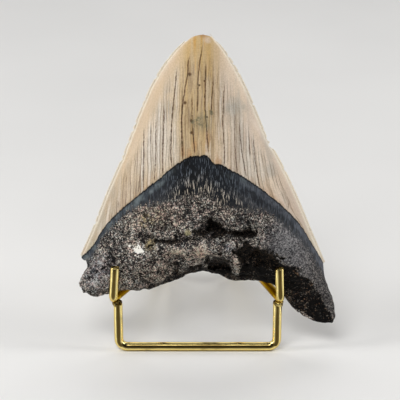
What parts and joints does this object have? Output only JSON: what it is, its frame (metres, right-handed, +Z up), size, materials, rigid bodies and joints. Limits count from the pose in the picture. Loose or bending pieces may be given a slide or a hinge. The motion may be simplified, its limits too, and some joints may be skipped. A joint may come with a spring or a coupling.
{
  "type": "megalodon tooth on a wire stand",
  "caption": "Broad triangular fossil shark tooth with a bulging front, dark pitted root and blunt tip, leaning back on a stand of bent and soldered brass wire.",
  "frame": {"origin": "on the table, under the middle of the whole object's box", "axes": "+Z up, +X to the viewer's right along the stand's front bar, +Y from the tooth's bulging front face to the stand's rear feet"},
  "size_m": [0.0957, 0.0679, 0.112],
  "materials": {
    "fossil": "cream enamel with a soft sheen over a matt black-brown root",
    "brass_wire": "polished"
  },
  "bodies": {
    "root": {"tooth": "fossil", "front_foot": "brass_wire", "left_arm": "brass_wire", "right_arm": "brass_wire", "back_frame": "brass_wire"}
  },
  "joints": []
}
